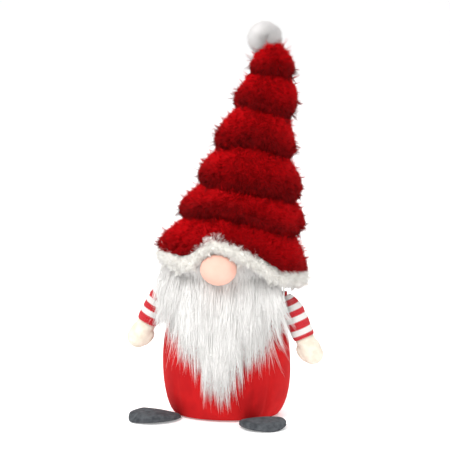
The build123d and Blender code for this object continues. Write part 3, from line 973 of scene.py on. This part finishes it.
def arm_place(side, out, tilt):
    """Takes a hanging arm, with its shoulder seam at the origin, to its place and tilt."""
    seam = joint_place[side + "_arm_lift"]
    return Matrix.Translation(seam) @ Matrix.Rotation(radians(-out * tilt), 4, "Y")


def sleeve_radius(down):
    """The sleeve's radius at a distance down from the shoulder seam."""
    return np.interp(down, (1, 4, 12, 22, 40, 52, 56), (2.5, 5.5, 9.5, 12.2, 12.6, 12.3, 11.6))


for side, *_ in arm_sides:
    print(side, "shoulder seam", [round(v, 1) for v in joint_place[side + "_arm_lift"]])

# %% [markdown]
# ## Stitches
# Plain knitting shows columns of small V shapes. Each stitch is two leaning grains of yarn, so the
# bands of red and white follow real rows, and a plain tube behind them closes the gaps.


# %% Lay out the stitches of a sleeve
def stitch_grain():
    """One grain of yarn, a small ellipsoid with few faces."""
    grain = bmesh.new()
    bmesh.ops.create_uvsphere(grain, u_segments=6, v_segments=5, radius=1.0)
    bmesh.ops.scale(grain, vec=(0.62, 0.5, 1.0), verts=grain.verts)
    return points_and_triangles(grain)


def knit_sleeve(bands):
    """A hanging sleeve's stitches as points, triangles, and a band number: 1 is red, 0 white."""
    grain_points, grain_triangles = stitch_grain()
    row_height = 2.35
    columns = 24
    points, triangles, band = [], [], []
    total = 0
    for down in np.arange(sleeve_end - 0.8, 2.0, -row_height):
        radius = sleeve_radius(down) * (1 + 0.02 * sin(down * 0.4))
        up_from_cuff = sleeve_end - down
        is_red = sum(up_from_cuff > edge for edge in bands) % 2 == 0
        width = 2 * pi * radius / columns
        for column in range(columns):
            turn = 2 * pi * (column + 0.5) / columns
            stitch = Matrix.Rotation(turn, 4, "Z") @ Matrix.Translation((0, -radius - 0.25, -down))
            for lean in (1, -1):
                shape = (
                    stitch
                    @ Matrix.Translation((lean * width * 0.24, 0, 0))
                    @ Matrix.Rotation(lean * radians(24), 4, "Y")
                    @ Matrix.Diagonal((width * 0.46, 1.6, row_height * 0.78, 1))
                )
                turned = np.array(shape)
                points.append(grain_points @ turned[:3, :3].T + turned[:3, 3])
                triangles.append(grain_triangles + total)
                band.append(np.full(len(grain_points), float(is_red)))
                total += len(grain_points)
    return np.concatenate(points), np.concatenate(triangles), np.concatenate(band)


# %% [markdown]
# ## Knitting the sleeves
# Both sleeves are one pattern with other bands. The red or white is a number on each stitch's
# points, so one finish serves all the yarn.


# %% Knit both sleeves
def knit_piece(name, stitches, place):
    """A mesh of stitches over a plain tube of cloth, put in place."""
    points, triangles, band = stitches
    wall = [(sleeve_radius(down) - 0.5, -down) for down in np.arange(sleeve_end, 1, -1.5)]
    tube = spun_form([(0.0, -sleeve_end), *wall, (0.0, -1.0)], 36)
    tube_points, tube_triangles = points_and_triangles(tube)
    turned = np.array(place)
    sewn = np.concatenate([tube_points, points]) @ turned[:3, :3].T + turned[:3, 3]
    faces = np.concatenate([tube_triangles, triangles + len(tube_points)])
    no_pile = np.zeros(len(sewn))
    piece = pile_piece(name, knit, [(sewn, faces, no_pile, no_pile)])
    bands_of_points = np.concatenate([np.zeros(len(tube_points)), band])
    layer = piece.data.attributes.new("band", "FLOAT", "POINT")
    layer.data.foreach_set("value", bands_of_points.astype(np.float32))
    return piece


for side, out, tilt, bands in arm_sides:
    sleeve = knit_piece(side + "_knit_sleeve", knit_sleeve(bands), arm_place(side, out, tilt))
    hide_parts(side + "_sleeve", side + "_sleeve_filling")
    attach(sleeve, side + "_arm")

# %% [markdown]
# ## The mittens
# Each mitten is a soft felt bag with a short thumb. Balls that overlap are remeshed into one skin
# and smoothed, which gives the rounded valley between the thumb and the palm.

# %% Shape the mittens
skin_detail = 0.9


def soft_union(form, name, finish):
    """One smooth skin round the overlapping balls of a bmesh."""
    draft = to_piece(form, name + "_draft", finish)
    remesh = draft.modifiers.new("skin", "REMESH")
    remesh.mode = "VOXEL"
    remesh.voxel_size = skin_detail * MM
    smooth = draft.modifiers.new("smooth", "SMOOTH")
    smooth.iterations = 6
    smooth.factor = 0.5
    bpy.context.view_layer.update()
    shown = draft.evaluated_get(bpy.context.evaluated_depsgraph_get())
    mesh = bpy.data.meshes.new_from_object(shown)
    mesh.name = name
    bpy.data.objects.remove(draft)
    mesh.shade_smooth()
    piece = bpy.data.objects.new(name, mesh)
    bpy.context.collection.objects.link(piece)
    return piece


def add_ball(form, middle, size, lean=0.0):
    """An ellipsoid added to a bmesh, leaning about Y."""
    place = Matrix.Translation(middle) @ Matrix.Rotation(lean, 4, "Y") @ Matrix.Diagonal((*size, 1))
    bmesh.ops.create_uvsphere(form, u_segments=32, v_segments=20, radius=1.0, matrix=place)


for side, out, tilt, _ in arm_sides:
    mitten_form = bmesh.new()
    # the wrist inside the cuff, the palm, the finger end and the thumb
    add_ball(mitten_form, (0, 0, -60), (11.8, 10.8, 9))
    add_ball(mitten_form, (0.8 * out, 0, -73), (13.6, 11.2, 17.5))
    add_ball(mitten_form, (1.5 * out, 0, -79), (13.0, 10.5, 13.0))
    add_ball(mitten_form, (-9.0 * out, 0, -75), (6.2, 6.5, 12.0), radians(-14 * out))
    mitten_form.transform(arm_place(side, out, tilt))
    mitten = soft_union(mitten_form, side + "_mitten", mitten_felt)
    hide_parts(side + "_hand", side + "_hand_filling")
    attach(mitten, side + "_arm")
    print(mitten.name, "points", len(mitten.data.vertices))

# %% [markdown]
# ## The feet
# The feet are flat felt pads, wide at the toe and narrow at the heel, with a seam all round. A ball
# with its poles at heel and toe is squashed to that outline, so no edge of the pad is sharp.

# %% Pad the feet
foot_length = 66.0
toe_half_width = 28.0
heel_share, toe_share = 0.58, 0.42  # the foot is widest where its heel part meets its toe part


def foot_half_width(share):
    """The foot's half width from its heel (0) to its toe (1)."""
    if share > heel_share:
        return toe_half_width * max(0.0, 1 - ((share - heel_share) / toe_share) ** 2.2) ** 0.5
    return toe_half_width * (1 - ((heel_share - share) / heel_share) ** 1.9) ** 0.72


def foot_pad(point):
    """Takes a ball whose poles are at heel and toe to the shape of the pad."""
    share = (1 - point.z) / 2
    round_part = max(1e-6, np.hypot(point.x, point.y))
    across, up = point.x / round_part, point.y / round_part
    half_height = np.interp(share, (0, 0.06, 0.3, 0.6, 0.9, 1), (1.0, 2.6, 4.6, 6.4, 5.2, 1.2))
    groove = 1 - 0.035 * np.exp(-((up / 0.10) ** 2))
    if abs(point.z) > 0.9999:
        across, up = 0.0, 0.0
    return Vector((
        foot_half_width(share) * np.sign(across) * abs(across) ** 0.62 * groove,
        -share * foot_length,
        half_height * (np.sign(up) * abs(up) ** 0.75) + half_height,
    ))


for side, out, turn in (("right", 1, 35.0), ("left", -1, 56.0)):
    pad = bmesh.new()
    bmesh.ops.create_uvsphere(pad, u_segments=72, v_segments=56, radius=1.0)
    move_points(pad, foot_pad)
    bmesh.ops.recalc_face_normals(pad, faces=pad.faces)
    heel = joint_place[side + "_foot_flap"]
    turned_out = Matrix.Rotation(radians(out * turn), 4, "Z")
    pad.transform(Matrix.Translation((heel.x, heel.y, 0)) @ turned_out)
    foot = to_piece(pad, side + "_foot_pad", foot_felt)
    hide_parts(side + "_foot_sole", side + "_foot_upper", side + "_foot_filling")
    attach(foot, side + "_foot")
    print(foot.name, "points", len(foot.data.vertices))
